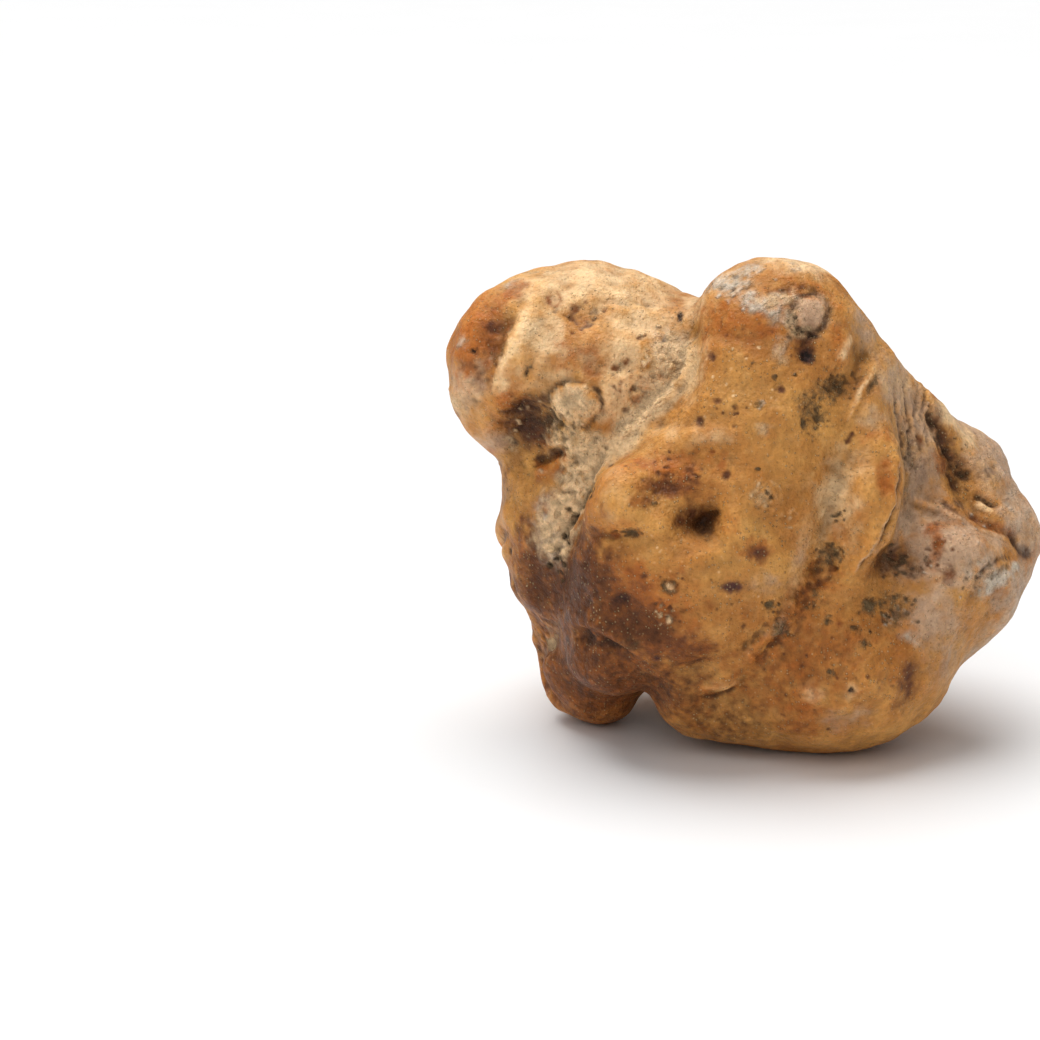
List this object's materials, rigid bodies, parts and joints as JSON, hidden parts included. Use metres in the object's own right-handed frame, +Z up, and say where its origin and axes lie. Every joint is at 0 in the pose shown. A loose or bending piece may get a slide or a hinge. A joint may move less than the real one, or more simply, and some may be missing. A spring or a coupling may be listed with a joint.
{
  "type": "white truffle",
  "caption": "Whole white truffle, a knobbly golden-ochre lump of swollen lobes with soil-filled folds, pits and scars, resting on a small flat spot.",
  "frame": {"origin": "under the middle of the truffle's box, on the surface it rests on", "axes": "+Z up, the front of the truffle faces -Y, +X towards its pointed beak end"},
  "size_m": [0.066, 0.0444, 0.0539],
  "materials": {
    "skin": "satin, waxy and finely grained, golden ochre mottled with brown, purple-brown and soil grey"
  },
  "bodies": {
    "root": {"truffle": "skin"}
  },
  "joints": []
}
